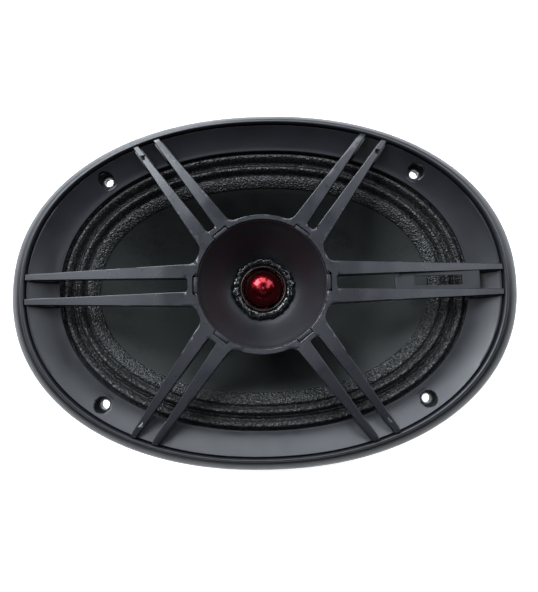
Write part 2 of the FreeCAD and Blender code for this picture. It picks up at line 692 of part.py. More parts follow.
os.makedirs("parts", exist_ok=True)
for name, shape in nodes().items():
    print(name, "solids", len(shape.Solids), "valid", shape.isValid(), "volume", round(shape.Volume, 2))
    shape.exportStep("parts/" + name + ".step")
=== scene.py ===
import math

import bpy
import bmesh
import numpy as np
from mathutils import Matrix, Vector, noise


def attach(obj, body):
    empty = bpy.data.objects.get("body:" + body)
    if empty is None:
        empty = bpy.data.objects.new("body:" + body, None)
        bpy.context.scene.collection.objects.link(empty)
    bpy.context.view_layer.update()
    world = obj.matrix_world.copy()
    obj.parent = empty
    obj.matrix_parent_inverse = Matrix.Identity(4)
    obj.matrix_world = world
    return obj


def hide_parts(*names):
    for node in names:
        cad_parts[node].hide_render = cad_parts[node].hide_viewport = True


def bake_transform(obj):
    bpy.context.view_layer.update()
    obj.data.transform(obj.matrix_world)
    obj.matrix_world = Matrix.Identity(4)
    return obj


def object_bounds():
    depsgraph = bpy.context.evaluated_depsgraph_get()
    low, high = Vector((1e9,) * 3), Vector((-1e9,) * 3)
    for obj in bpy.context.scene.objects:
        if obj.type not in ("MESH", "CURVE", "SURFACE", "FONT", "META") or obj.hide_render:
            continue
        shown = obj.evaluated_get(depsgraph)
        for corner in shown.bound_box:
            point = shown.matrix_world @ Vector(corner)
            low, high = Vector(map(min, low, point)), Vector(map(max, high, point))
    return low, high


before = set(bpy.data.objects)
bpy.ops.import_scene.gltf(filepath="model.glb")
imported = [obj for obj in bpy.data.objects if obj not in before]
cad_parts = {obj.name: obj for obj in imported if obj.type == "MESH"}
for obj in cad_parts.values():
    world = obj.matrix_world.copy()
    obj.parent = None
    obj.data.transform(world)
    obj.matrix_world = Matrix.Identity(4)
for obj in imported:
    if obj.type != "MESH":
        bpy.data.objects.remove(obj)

CAD_LOW, CAD_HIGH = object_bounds()
MM = 0.001
FULL = 2.15              # fullness of the outer ovals, where 2 is an ellipse
FRONT_SEGMENTS = 384


# Meshes ---------------------------------------------------------------------------------------
def new_object(name, verts, faces, material, sharp=40.0):
    mesh = bpy.data.meshes.new(name)
    mesh.from_pydata([tuple(v) for v in verts], [], faces)
    tidy = bmesh.new()
    tidy.from_mesh(mesh)
    bmesh.ops.recalc_face_normals(tidy, faces=tidy.faces)
    tidy.to_mesh(mesh)
    tidy.free()
    mesh.polygons.foreach_set("use_smooth", [True] * len(mesh.polygons))
    mesh.set_sharp_from_angle(angle=math.radians(sharp))
    mesh.materials.append(material)
    piece = bpy.data.objects.new(name, mesh)
    bpy.context.scene.collection.objects.link(piece)
    return piece


def oval(a, b, fullness, t):
    """Points of a level oval in millimetres, for an array of angles t."""
    c, s = np.cos(t), np.sin(t)
    k = (np.abs(c) ** fullness + np.abs(s) ** fullness) ** (-1 / fullness)
    return a * c * k, b * s * k


def grid_faces(rings, segments, closed):
    faces = []
    last = rings if closed else rings - 1
    for i in range(last):
        j = (i + 1) % rings
        for k in range(segments):
            m = (k + 1) % segments
            faces.append((i * segments + k, i * segments + m, j * segments + m, j * segments + k))
    return faces


def oval_band(name, stations, material, segments=FRONT_SEGMENTS, closed=True, sharp=40.0):
    """A band whose section visits (a, b, z, fullness) stations in millimetres."""
    t = np.linspace(0, 2 * math.pi, segments, endpoint=False)
    rows = []
    for a, b, z, fullness in stations:
        x, y = oval(a, b, fullness, t)
        rows.append(np.stack([x, y, np.full(segments, z)], 1))
    verts = np.concatenate(rows) * MM
    return new_object(name, verts, grid_faces(len(stations), segments, closed), material, sharp)


def lathe(name, outline, material, segments=160, closed=True, sharp=40.0):
    """A turned piece from (radius, z) points in millimetres. Points on the axis are allowed at the ends."""
    stations = [(max(r, 0.01), max(r, 0.01), z, 2.0) for r, z in outline]
    return oval_band(name, stations, material, segments, closed, sharp)


def smooth(points, steps):
    """A curve through the points, with steps new points in each span."""
    p = np.array(points, float)
    out = []
    for i in range(len(p) - 1):
        p0 = p[max(i - 1, 0)]
        p1, p2 = p[i], p[i + 1]
        p3 = p[min(i + 2, len(p) - 1)]
        for u in np.linspace(0, 1, steps, endpoint=False):
            out.append(0.5 * (2 * p1 + (p2 - p0) * u + (2 * p0 - 5 * p1 + 4 * p2 - p3) * u ** 2
                              + (3 * p1 - p0 - 3 * p2 + p3) * u ** 3))
    out.append(p[-1])
    return [tuple(q) for q in out]


def arc(centre, radius, start, end, count):
    angles = np.radians(np.linspace(start, end, count))
    return [(centre[0] + radius * math.cos(a), centre[1] + radius * math.sin(a)) for a in angles]


def rounded_copy(node, material, width, segments=2, angle=30.0):
    """A copy of a CAD node with its hard edges rounded."""
    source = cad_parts[node]
    mesh = source.data.copy()
    mesh.name = node + "_finished"
    tidy = bmesh.new()
    tidy.from_mesh(mesh)
    bmesh.ops.remove_doubles(tidy, verts=tidy.verts, dist=1e-6)
    bmesh.ops.dissolve_limit(tidy, angle_limit=math.radians(1.0), verts=tidy.verts, edges=tidy.edges)
    tidy.to_mesh(mesh)
    tidy.free()
    if mesh.has_custom_normals:
        mesh.attributes.remove(mesh.attributes["custom_normal"])
    mesh.materials.clear()
    mesh.materials.append(material)
    piece = bpy.data.objects.new(node + "_finished", mesh)
    bpy.context.scene.collection.objects.link(piece)
    return bevelled(piece, width, segments, angle)


def bake_modifiers(piece):
    graph = bpy.context.evaluated_depsgraph_get()
    mesh = bpy.data.meshes.new_from_object(piece.evaluated_get(graph))
    piece.modifiers.clear()
    piece.data = mesh


def finish(piece, node, body):
    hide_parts(*([node] if isinstance(node, str) else node))
    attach(piece, body)
    return piece


# Materials ------------------------------------------------------------------------------------
def node(tree, kind, inputs=None, **settings):
    made = tree.nodes.new(kind)
    for key, value in settings.items():
        setattr(made, key, value)
    for key, value in (inputs or {}).items():
        if isinstance(value, bpy.types.NodeSocket):
            tree.links.new(value, made.inputs[key])
        else:
            made.inputs[key].default_value = value
    return made


def base_material(name, **inputs):
    material = bpy.data.materials.new(name)
    material.use_nodes = True
    tree = material.node_tree
    shader = tree.nodes["Principled BSDF"]
    for key, value in inputs.items():
        shader.inputs[key.replace("_", " ")].default_value = value
    place = node(tree, "ShaderNodeTexCoord").outputs["Object"]
    return material, tree, shader, place


def noise_of(tree, place, scale, detail=2.0, roughness=0.5):
    return node(tree, "ShaderNodeTexNoise", {"Vector": place, "Scale": scale, "Detail": detail,
                                             "Roughness": roughness}).outputs["Fac"]


def spread(tree, value, low, high, start=0.3, end=0.7):
    return node(tree, "ShaderNodeMapRange", {"Value": value, "From Min": start, "From Max": end,
                                             "To Min": low, "To Max": high}).outputs["Result"]


def two_tone(tree, value, dark, light, start=0.3, end=0.7):
    ramp = node(tree, "ShaderNodeValToRGB", {"Fac": value})
    ramp.color_ramp.elements[0].position = start
    ramp.color_ramp.elements[0].color = (*dark, 1)
    ramp.color_ramp.elements[1].position = end
    ramp.color_ramp.elements[1].color = (*light, 1)
    return ramp.outputs["Color"]


def set_bump(tree, shader, height, strength, depth):
    bump = node(tree, "ShaderNodeBump", {"Height": height, "Strength": strength, "Distance": depth})
    tree.links.new(bump.outputs["Normal"], shader.inputs["Normal"])


def plastic(name, dark, light, rough, grain=0.00002, specular=0.5):
    """Moulded satin plastic: cloudy tone, patchy gloss and a very fine grain."""
    material, tree, shader, place = base_material(name, IOR=1.5, Specular_IOR_Level=specular)
    clouds = noise_of(tree, place, 35.0, 3.0)
    tree.links.new(two_tone(tree, clouds, dark, light), shader.inputs["Base Color"])
    patches = noise_of(tree, place, 90.0, 4.0, 0.6)
    tree.links.new(spread(tree, patches, rough - 0.05, rough + 0.06), shader.inputs["Roughness"])
    set_bump(tree, shader, noise_of(tree, place, 2600.0, 2.0), 0.5, grain)
    return material


def doped_cloth():
    """Woven cloth under a thick resin: black, with glossy grains the size of its threads."""
    material, tree, shader, place = base_material("doped_cloth", IOR=1.5)
    cells = node(tree, "ShaderNodeTexVoronoi", {"Vector": place, "Scale": 1150.0}).outputs["Distance"]
    fine = noise_of(tree, place, 1050.0, 2.0, 0.6)
    height = node(tree, "ShaderNodeMath", {0: cells, 1: fine}, operation="SUBTRACT").outputs[0]
    tree.links.new(two_tone(tree, fine, (0.002, 0.002, 0.002), (0.060, 0.060, 0.061), 0.46, 0.68),
                   shader.inputs["Base Color"])
    tree.links.new(spread(tree, fine, 0.5, 0.22, 0.40, 0.66), shader.inputs["Roughness"])
    set_bump(tree, shader, height, 1.0, 0.0005)
    return material


def paper(name, dark, light):
    material, tree, shader, place = base_material(name, Specular_IOR_Level=0.35)
    fibres = noise_of(tree, place, 900.0, 5.0, 0.65)
    clouds = noise_of(tree, place, 60.0, 4.0)
    mixed = node(tree, "ShaderNodeMath", {0: fibres, 1: clouds}, operation="ADD").outputs[0]
    tree.links.new(two_tone(tree, mixed, dark, light, 0.7, 1.3), shader.inputs["Base Color"])
    tree.links.new(spread(tree, clouds, 0.55, 0.72), shader.inputs["Roughness"])
    set_bump(tree, shader, fibres, 0.35, 0.00006)
    return material


def metal(name, colour, rough, scratch=0.00001, grain=(400.0, 400.0, 400.0)):
    material, tree, shader, place = base_material(name, Metallic=1.0)
    stretched = node(tree, "ShaderNodeMapping", {"Vector": place, "Scale": grain}).outputs["Vector"]
    lines = noise_of(tree, stretched, 1.0, 3.0)
    dark = tuple(c * 0.8 for c in colour)
    tree.links.new(two_tone(tree, lines, dark, colour), shader.inputs["Base Color"])
    tree.links.new(spread(tree, lines, rough - 0.06, rough + 0.08), shader.inputs["Roughness"])
    set_bump(tree, shader, lines, 0.3, scratch)
    return material


def glue():
    material, tree, shader, place = base_material("wet_glue", IOR=1.52)
    lumps = noise_of(tree, place, 420.0, 2.0)
    tree.links.new(two_tone(tree, lumps, (0.002, 0.002, 0.002), (0.006, 0.006, 0.007)),
                   shader.inputs["Base Color"])
    tree.links.new(spread(tree, lumps, 0.04, 0.12), shader.inputs["Roughness"])
    set_bump(tree, shader, lumps, 0.3, 0.0004)
    return material


def anodised():
    material, tree, shader, place = base_material("red_anodised", Metallic=1.0, Coat_Weight=0.4,
                                                 Coat_Roughness=0.08)
    haze = noise_of(tree, place, 700.0, 3.0)
    tree.links.new(two_tone(tree, haze, (0.19, 0.005, 0.010), (0.27, 0.009, 0.016)),
                   shader.inputs["Base Color"])
    tree.links.new(spread(tree, haze, 0.2, 0.28), shader.inputs["Roughness"])
    set_bump(tree, shader, haze, 0.2, 0.00001)
    return material


BLACK = plastic("trim_black", (0.010, 0.010, 0.013), (0.017, 0.017, 0.021), 0.36)
BEZEL = plastic("bezel_black", (0.010, 0.010, 0.013), (0.016, 0.016, 0.020), 0.33)
GUARD = plastic("guard_black", (0.014, 0.014, 0.018), (0.021, 0.021, 0.026), 0.29, specular=0.6)
BADGE = plastic("badge_black", (0.016, 0.016, 0.019), (0.022, 0.022, 0.026), 0.42)
# The horn's blue-green cast is painted light: it cancels the red light that the bullet reflects onto the horn.
HORN = plastic("horn_black", (0.008, 0.010, 0.012), (0.012, 0.014, 0.017), 0.42)
CLOTH = doped_cloth()
PAPER = paper("black_pulp", (0.008, 0.009, 0.009), (0.018, 0.020, 0.019))
GLUE = glue()
RED = anodised()
STEEL = metal("plated_steel", (0.62, 0.62, 0.60), 0.32)
BRIGHT = metal("bright_steel", (0.85, 0.85, 0.84), 0.25)
# The eyelets' zinc is grey zinc darkened further by painted shade, standing in for the shade inside the screw
# holes.
ZINC = metal("zinc_and_painted_hole_shade", (0.34, 0.34, 0.34), 0.45)
BRASS = metal("brass", (0.80, 0.62, 0.30), 0.3)
COPPER = metal("copper_wire", (0.70, 0.32, 0.16), 0.35, 0.00008, (40.0, 40.0, 5000.0))
FOIL = metal("former_foil", (0.75, 0.76, 0.78), 0.3)
PAINT = plastic("basket_paint", (0.018, 0.018, 0.020), (0.026, 0.026, 0.028), 0.36, 0.00005)
FERRITE = plastic("ferrite", (0.030, 0.030, 0.032), (0.055, 0.055, 0.058), 0.62, 0.00008)
FOAM = plastic("foam", (0.018, 0.018, 0.018), (0.030, 0.030, 0.030), 0.85, 0.0002)
BOARD = plastic("phenolic_board", (0.16, 0.075, 0.030), (0.23, 0.11, 0.045), 0.5)
SLEEVE = plastic("capacitor_sleeve", (0.03, 0.035, 0.06), (0.04, 0.045, 0.08), 0.25)
RED_WIRE = plastic("red_insulation", (0.30, 0.012, 0.012), (0.38, 0.018, 0.018), 0.4)
BLACK_WIRE = plastic("black_insulation", (0.012, 0.012, 0.012), (0.02, 0.02, 0.02), 0.4)
SPIDER = paper("resin_cotton", (0.42, 0.24, 0.06), (0.58, 0.36, 0.11))
TINSEL = metal("tinsel_braid", (0.62, 0.45, 0.28), 0.45, 0.0001, (3000.0, 3000.0, 3000.0))
FILM = plastic("diaphragm_film", (0.42, 0.30, 0.12), (0.50, 0.38, 0.17), 0.25)

NODE_LOOKS = {
    "trim_ring": BLACK, "bezel_dish": BEZEL, "spoke_guard": GUARD, "badge_frame": BADGE,
    "mounting_eyelets": ZINC,
    "rear_gasket": FOAM, "surround_gasket": FOAM, "surround": CLOTH, "cone": PAPER, "cone_eyelets": BRASS,
    "dust_cap": PAPER, "voice_coil_former": FOIL, "voice_coil_winding": COPPER, "spider": SPIDER,
    "basket": PAINT, "motor_rivets": BRIGHT, "top_plate": STEEL, "magnet": FERRITE, "back_plate": STEEL,
    "terminal_board": BOARD, "terminal_rivets": BRASS, "positive_tab": BRASS, "negative_tab": BRASS,
    "crossover_capacitor": SLEEVE, "tinsel_lead_positive": TINSEL, "tinsel_lead_negative": TINSEL,
    "tweeter_lead_positive": RED_WIRE, "tweeter_lead_negative": BLACK_WIRE, "horn": HORN, "glue_bead": GLUE,
    "tweeter_bullet": RED, "tweeter_housing": GUARD, "tweeter_yoke": STEEL, "tweeter_magnet": BRIGHT,
    "tweeter_top_plate": STEEL, "tweeter_voice_coil": COPPER, "tweeter_diaphragm": FILM,
    "tweeter_suspension": FILM,
}
for cad_name, look in NODE_LOOKS.items():
    cad_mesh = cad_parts[cad_name].data
    cad_mesh.materials.clear()
    cad_mesh.materials.append(look)


# Camera, floor and light ----------------------------------------------------------------------
def make_camera():
    """A camera in front of the guard, a little below its middle and tilted up to it."""
    tilt, swing, roll = math.radians(-6.81), math.radians(-0.90), math.radians(1.32)
    turn = (Matrix.Rotation(roll, 3, "Z") @ Matrix.Rotation(swing, 3, "Y") @ Matrix.Rotation(tilt, 3, "X"))
    offset = Vector((-3.05, 4.26, -259.4)) * MM
    data = bpy.data.cameras.new("camera")
    data.lens = 31.35
    data.sensor_width = 36.0
    data.clip_start = 0.01
    camera = bpy.data.objects.new("camera", data)
    back = turn.transposed()
    camera.matrix_world = Matrix.Translation(back @ -offset) @ back.to_4x4()
    bpy.context.scene.collection.objects.link(camera)
    bpy.context.scene.camera = camera


LAMP_COLOUR = (0.86, 0.93, 1.0)


def area_light(name, place, target, size, power, colour=LAMP_COLOUR):
    data = bpy.data.lights.new(name, "AREA")
    data.shape = "RECTANGLE"
    data.size, data.size_y = size
    data.energy = power
    data.color = colour
    lamp = bpy.data.objects.new(name, data)
    lamp.location = place
    lamp.rotation_euler = (Vector(target) - Vector(place)).to_track_quat("-Z", "Y").to_euler()
    bpy.context.scene.collection.objects.link(lamp)
    return lamp


FLOOR_GLOW = 0.8       # lifts the floor to a plain white sweep
FLOOR_HALF = 3.0
FLOOR_GAP = 0.0002


def make_floor():
    material, tree, shader, place = base_material("pale_floor", Roughness=0.9, Emission_Color=(1, 1, 1, 1),
                                                 Emission_Strength=FLOOR_GLOW)
    clouds = noise_of(tree, place, 3.0)
    tree.links.new(two_tone(tree, clouds, (0.88, 0.88, 0.88), (0.92, 0.92, 0.92)), shader.inputs["Base Color"])
    half, z = FLOOR_HALF, CAD_LOW.z - FLOOR_GAP
    floor = new_object("floor", [(-half, -half, z), (half, -half, z), (half, half, z), (-half, half, z)],
                       [(0, 1, 2, 3)], material)


# Lamps as name, place, side and power, all aimed at the origin, in metres and watts
LAMPS = (("upper_left_box", (-0.68, 0.68, 0.87), 0.6, 16.0), ("top_window", (-0.47, 1.14, 0.40), 0.6, 12.5),
         ("upper_right_box", (0.68, 0.68, 0.87), 0.6, 4.4), ("top_box", (0.0, 0.97, 0.87), 0.6, 5.5),
         ("right_window", (1.14, 0.47, 0.40), 0.6, 2.8), ("left_window", (-1.14, 0.47, 0.40), 0.6, 1.8),
         ("right_card", (0.60, 0.25, 1.13), 0.42, 1.6), ("left_card", (-0.60, 0.25, 1.13), 0.42, 1.3),
         ("high_card", (0.0, 0.06, 1.30), 0.2, 0.45), ("low_card", (-0.47, -1.14, 0.40), 0.6, 0.7))
RING_ANGLES = (95, 135, 170, 205, 240, 275, 310)       # lamps of an open ring round the lens
RING_CENTRE = (0.0, -0.26, 1.27)
RING_R, RING_SIZE, RING_POWER = 0.40, 0.12, 0.06
SKY_STRENGTH = 0.03

make_camera()
make_floor()
for lamp_name, lamp_place, lamp_size, lamp_power in LAMPS:
    area_light(lamp_name, lamp_place, (0, 0, 0), (lamp_size, lamp_size), lamp_power)
for ring_angle in RING_ANGLES:
    turn = math.radians(ring_angle)
    ring_x = RING_CENTRE[0] + RING_R * math.cos(turn)
    ring_y = RING_CENTRE[1] + RING_R * math.sin(turn)
    ring_place = (ring_x, ring_y, RING_CENTRE[2])
    area_light("ring_%d" % ring_angle, ring_place, (0, 0, 0), (RING_SIZE, RING_SIZE), RING_POWER)
world = bpy.data.worlds.new("studio")
world.use_nodes = True
world.node_tree.nodes["Background"].inputs["Color"].default_value = (1, 1, 1, 1)
world.node_tree.nodes["Background"].inputs["Strength"].default_value = SKY_STRENGTH
bpy.context.scene.world = world
bpy.context.scene.view_settings.view_transform = "Standard"


# Front pieces ---------------------------------------------------------------------------------
def roughen(piece, depth, size, seed):
    """Moves every point along its normal by a fine noise, depth and size in millimetres."""
    mesh = piece.data
    offset = Vector((seed * 17.0, seed * 5.0, seed * 3.0))
    moved = []
    for vertex in mesh.vertices:
        grain = noise.noise(vertex.co / (size * MM) + offset)
        grain += 0.5 * noise.noise(vertex.co / (size * 0.45 * MM))
        moved.append(vertex.co + vertex.normal * grain * depth * MM)
    for vertex, place in zip(mesh.vertices, moved):
        vertex.co = place
    mesh.update()


def make_trim_ring():
    outer = smooth([(124.9, 88.2, 2.2), (124.6, 87.95, 4.4), (123.4, 87.15, 6.7), (121.6, 85.85, 8.5),
                    (119.7, 84.45, 9.9), (118.4, 83.5, 10.5)], 5)
    bead = smooth([(118.15, 83.3, 10.5), (117.8, 83.05, 10.85), (117.3, 82.7, 11.1), (116.7, 82.3, 11.0),
                   (116.2, 81.95, 10.5), (116.0, 81.8, 9.8)], 3)
    inside = [(116.0, 81.8, 1.0), (117.9, 83.1, 1.0), (117.9, 83.1, 8.3), (120.9, 85.2, 6.0),
              (122.8, 86.5, 2.2), (122.8, 86.5, 0.2), (124.7, 88.0, 0.2), (124.9, 88.2, 0.5)]
    stations = [(a, b, z, FULL) for a, b, z in outer + bead + inside]
    ring = oval_band("trim_ring_finished", stations, BLACK, sharp=50.0)
    return finish(ring, "trim_ring", "frame")


DISH_OUT = (115.0, 80.85)        # where the bezel's hollow front begins
DISH_IN = (101.4, 70.35)
DISH_OUT_Z, DISH_IN_Z = 9.4, 4.0
SCREW_HALF = (78.0, 56.0)        # half the spacing of the four screws
HOLE_R, BOSS_R = 3.85, 5.3
PAD_TOP_Z = 9.5


def dish_section():
    section = [(115.6, 81.4, 8.6), (115.55, 81.35, 9.05), (115.3, 81.1, 9.35)]
    for u in np.linspace(1, 0, 26):
        a, b = [low + (high - low) * u for low, high in zip(DISH_IN, DISH_OUT)]
        section.append((a, b, DISH_IN_Z + (DISH_OUT_Z - DISH_IN_Z) * u ** 1.4))
    section += [(101.15, 70.12, 3.9), (101.0, 70.0, 3.6), (101.0, 70.0, 3.0), (101.2, 70.2, 2.1)]
    section += [(105.0, 73.2, 2.8), (108.5, 75.9, 4.1), (111.5, 78.2, 5.6), (113.5, 79.8, 6.8)]
    section += [(113.5, 79.8, 1.0), (115.6, 81.4, 1.0)]
    return [(a, b, z, FULL) for a, b, z in section]


def make_dish():
    dish = oval_band("bezel_dish_finished", dish_section(), BEZEL, segments=512)
    for i, (x, y) in enumerate(screw_places()):
        core = [(0.0, -5.0), (HOLE_R, -5.0), (HOLE_R, 20.0), (0.0, 20.0)]
        drill = lathe("drill", core, BEZEL, 72, closed=False)
        drill.data.transform(Matrix.Translation(Vector((x, y, 0)) * MM))
        cut = dish.modifiers.new("hole", "BOOLEAN")
        cut.object = drill
        cut.operation = "DIFFERENCE"
        cut.solver = "EXACT"
        bake_modifiers(dish)
        bpy.data.objects.remove(drill)
        wall = [(HOLE_R, 1.0), (BOSS_R, 1.0), (BOSS_R, 4.6), (HOLE_R, 4.6)]
        boss = lathe("bezel_boss_%d" % (i + 1), wall, BEZEL, 72)
        boss.data.transform(Matrix.Translation(Vector((x, y, 0)) * MM))
        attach(boss, "frame")
    finish(dish, "bezel_dish", "frame")
    for i, outline in enumerate(pad_outlines()):
        pad = block_on("bezel_pad_%d" % (i + 1), outline, 3.0, PAD_TOP_Z, 0.2, BEZEL)
        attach(pad, "frame")


def screw_places():
    return [(sx * SCREW_HALF[0], sy * SCREW_HALF[1]) for sx in (-1, 1) for sy in (-1, 1)]


def pad_outlines():
    """Plan outlines of the twelve pads that the guard's bars rest on, half a millimetre wider than the bars."""
    extra = 0.5
    dx, dy = 56.3 - 24.8, 71.75 - 28.0
    slanted = math.hypot(dx, dy)
    pairs = [((37.4, 0.0), (1.0, 0.0), 78.2, (3.25, 4.6), (10.0, 7.45), (1,)),
             ((24.8, 28.0), (dx / slanted, dy / slanted), slanted, (2.3, 3.85), (9.3, 6.55), (1, -1))]
    outlines = []
    for (x0, y0), (ux, uy), length, slot, edge, flips in pairs:
        for sx in (1, -1):
            for sy in flips:
                for side in (1, -1):
                    rows = []
                    for (near, far), grow in ((slot, -extra), (edge, extra)):
                        line = []
                        for d in np.linspace(0, length + 6.0, 400):
                            half = side * (near + (far - near) * d / length + grow)
                            line.append((x0 + ux * d - uy * half, y0 + uy * d + ux * half))
                        inside = [p for p in line if level(p, DISH_IN) > 1 and level(p, (114.3, 80.3)) < 1]
                        rows.append((inside[0], inside[-1]))
                    (a, b), (c, d) = rows
                    outlines.append([(sx * px, sy * py) for px, py in (a, b, d, c)])
    return outlines


def level(point, oval_size):
    return sum((abs(p) / size) ** FULL for p, size in zip(point, oval_size))


def block_on(name, outline, low, high, edge, material):
    """A straight-sided block on a plan outline, with rounded edges."""
    verts = [(x * MM, y * MM, z * MM) for z in (low, high) for x, y in outline]
    count = len(outline)
    faces = [tuple(range(count)), tuple(range(count, 2 * count))]
    faces += [(i, (i + 1) % count, count + (i + 1) % count, count + i) for i in range(count)]
    piece = new_object(name, verts, faces, material, sharp=50.0)
    return bevelled(piece, edge)


def bevelled(piece, width, segments=2, angle=30.0, sharp=25.0):
    bevel = piece.modifiers.new("edges", "BEVEL")
    bevel.width = width * MM
    bevel.segments = segments
    bevel.limit_method = "ANGLE"
    bevel.angle_limit = math.radians(angle)
    bevel.use_clamp_overlap = True
    bake_modifiers(piece)
    piece.data.polygons.foreach_set("use_smooth", [True] * len(piece.data.polygons))
    piece.data.set_sharp_from_angle(angle=math.radians(sharp))
    return piece


HUB_FLAT_R, HUB_TOP_Z, BAR_END_Z = 48.0, 15.0, 11.4
CROWN_START = HUB_FLAT_R + 4.0    # where the even fall towards the rim begins
CROWN_EASE = 0.35                # fall over the last millimetres before it
RIM_OVAL = (115.6, 81.4)         # where the guard's bars end
GUARD_CELL = 3.0                 # side of the cells that the guard's front is cut into
GUARD_REACH = (117.0, 84.0)
GUARD_FRONT_Z = 10.5             # every front face of the guard lies above this
NOTCH_R, NOTCH_Z = 33.3, 13.0    # the clip notches' floors lie inside and below these
EDGE_INSETS = (0.30, 0.14)       # widths of the two lines that round the guard's edge
EDGE_DROP = (0.34, 0.10, 0.0)    # how far the guard's edge, and the line inside it, lie below its front


def crown_height(x, y):
    """Height of the guard's front over a plan point: flat over the hub, then an even fall to the rim."""
    radius = math.hypot(x, y)
    if radius <= HUB_FLAT_R:
        return HUB_TOP_Z
    start = CROWN_START
    if radius <= start:
        return HUB_TOP_Z - CROWN_EASE * ((radius - HUB_FLAT_R) / (start - HUB_FLAT_R)) ** 1.5
    low, high = 0.0, 1.1
    for _ in range(20):
        u = (low + high) / 2
        a, b = start + (RIM_OVAL[0] - start) * u, start + (RIM_OVAL[1] - start) * u
        full = 2.0 + (FULL - 2.0) * u
        if (abs(x) / a) ** full + (abs(y) / b) ** full > 1:
            low = u
        else:
            high = u
    return HUB_TOP_Z - CROWN_EASE - (HUB_TOP_Z - CROWN_EASE - BAR_END_Z) * low ** 1.2


def make_guard():
    """The spoked guard: the plan of its CAD solid, cut into small cells and laid on the crown."""
    plan = bmesh.new()
    plan.from_mesh(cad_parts["spoke_guard"].data)
    bmesh.ops.remove_doubles(plan, verts=plan.verts, dist=1e-6)
    others = []
    for face in plan.faces:
        centre = face.calc_center_median() / MM
        in_notch = centre.xy.length < NOTCH_R and centre.z < NOTCH_Z
        if face.normal.z < 0.9 or centre.z < GUARD_FRONT_Z or in_notch:
            others.append(face)
    bmesh.ops.delete(plan, geom=others, context="FACES")
    for vertex in plan.verts:
        vertex.co.z = 0.0
    bmesh.ops.remove_doubles(plan, verts=plan.verts, dist=2e-5)
    bmesh.ops.dissolve_limit(plan, angle_limit=math.radians(2.0), verts=plan.verts, edges=plan.edges)
    for axis, reach in enumerate(GUARD_REACH):
        for step in np.arange(-reach, reach, GUARD_CELL):
            place, way = [0.0, 0.0, 0.0], [0.0, 0.0, 0.0]
            place[axis], way[axis] = step * MM, 1.0
            bmesh.ops.bisect_plane(plan, geom=plan.verts[:] + plan.edges[:] + plan.faces[:], plane_co=place,
                                   plane_no=way, dist=1e-7)
    bmesh.ops.recalc_face_normals(plan, faces=plan.faces)
    if sum(face.normal.z for face in plan.faces) < 0:
        bmesh.ops.reverse_faces(plan, faces=plan.faces)
    for width in EDGE_INSETS:
        bmesh.ops.inset_region(plan, faces=plan.faces, thickness=width * MM, depth=0.0, use_even_offset=False,
                               use_boundary=True)
    rims = outline_distance(plan)
    for vertex in plan.verts:
        x, y = vertex.co.x / MM, vertex.co.y / MM
        vertex.co.z = (crown_height(x, y) - EDGE_DROP[min(rims[vertex.index], 2)]) * MM
    edges = [edge for edge in plan.edges if edge.is_boundary]
    walls = bmesh.ops.extrude_edge_only(plan, edges=edges)
    for item in walls["geom"]:
        if isinstance(item, bmesh.types.BMVert):
            item.co.z = PAD_TOP_Z * MM
    foot = [item for item in walls["geom"] if isinstance(item, bmesh.types.BMEdge)]
    bmesh.ops.triangle_fill(plan, use_beauty=True, edges=foot)
    bmesh.ops.recalc_face_normals(plan, faces=plan.faces)
    mesh = bpy.data.meshes.new("spoke_guard_finished")
    plan.to_mesh(mesh)
    plan.free()
    mesh.polygons.foreach_set("use_smooth", [True] * len(mesh.polygons))
    mesh.set_sharp_from_angle(angle=math.radians(20))
    mesh.materials.append(GUARD)
    piece = bpy.data.objects.new("spoke_guard_finished", mesh)
    bpy.context.scene.collection.objects.link(piece)
    finish(piece, "spoke_guard", "frame")


def outline_distance(shape):
    """How many edges each vertex lies from the outline."""
    shape.verts.index_update()
    steps = {v.index: 0 for v in shape.verts if v.is_boundary}
    front = [v for v in shape.verts if v.is_boundary]
    for depth in (1, 2):
        following = []
        for vertex in front:
            for edge in vertex.link_edges:
                other = edge.other_vert(vertex)
                if other.index not in steps:
                    steps[other.index] = depth
                    following.append(other)
        front = following
    return [steps.get(v.index, 2) for v in shape.verts]


ROLL_1 = (98.3, 67.6)            # crest line of the surround's outer roll
CLOTH_T = 0.35
CLOTH_SEGMENTS = 1440            # fine enough to carry the cloth's grain


def roll_section(centre, half, height, valley, steps):
    """One roll of the surround as (inset, z), steep at its foot and round on its crown."""
    rows = []
    for u in np.linspace(-1, 1, steps):
        rise = height * math.cos(math.pi / 2 * u) ** 0.7 if abs(u) < 1 else 0.0
        rows.append((centre + half * u, valley + rise))
    return rows


def make_surround():
    section = [(-5.9, 1.6), (-3.6, 1.6), (-2.9, 1.2), (-2.5, 0.2)]
    section += roll_section(0.0, 2.2, 4.0, -0.6, 17)
    section += [(2.6, -0.75), (3.15, -0.5), (3.6, 0.35), (4.05, 0.75), (4.4, 0.3)]
    section += roll_section(6.4, 1.9, 3.7, -0.45, 15)
    section += [(8.7, -0.7), (9.1, -0.4), (9.5, 0.4), (10.0, 0.65), (10.6, 0.6), (11.4, 0.4), (12.1, 0.1)]
    section += [(12.8, -0.25), (13.6, -0.8), (14.4, -1.35), (15.0, -1.85), (15.4, -2.3)]
    top = [(ROLL_1[0] - d, ROLL_1[1] - d, z, FULL) for d, z in section]
    under = [(a, b, z - CLOTH_T, full) for a, b, z, full in reversed(top)]
    piece = oval_band("surround_finished", top + under, CLOTH, segments=CLOTH_SEGMENTS, sharp=180.0)
    roughen(piece, 0.13, 0.85, 1)
    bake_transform(piece)
    weigh_by_inset(piece)
    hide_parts("surround")
    return piece


def weigh_by_inset(piece):
    """Finds how far in from the roll line each point lies; the result is not stored or used."""
    for vertex in piece.data.vertices:
        x, y = abs(vertex.co.x) / MM, abs(vertex.co.y) / MM
        low, high = -12.0, 20.0
        for _ in range(18):
            inset = (low + high) / 2
            reach = (x / (ROLL_1[0] - inset)) ** FULL + (y / (ROLL_1[1] - inset)) ** FULL
            if reach > 1:
                high = inset
            else:
                low = inset


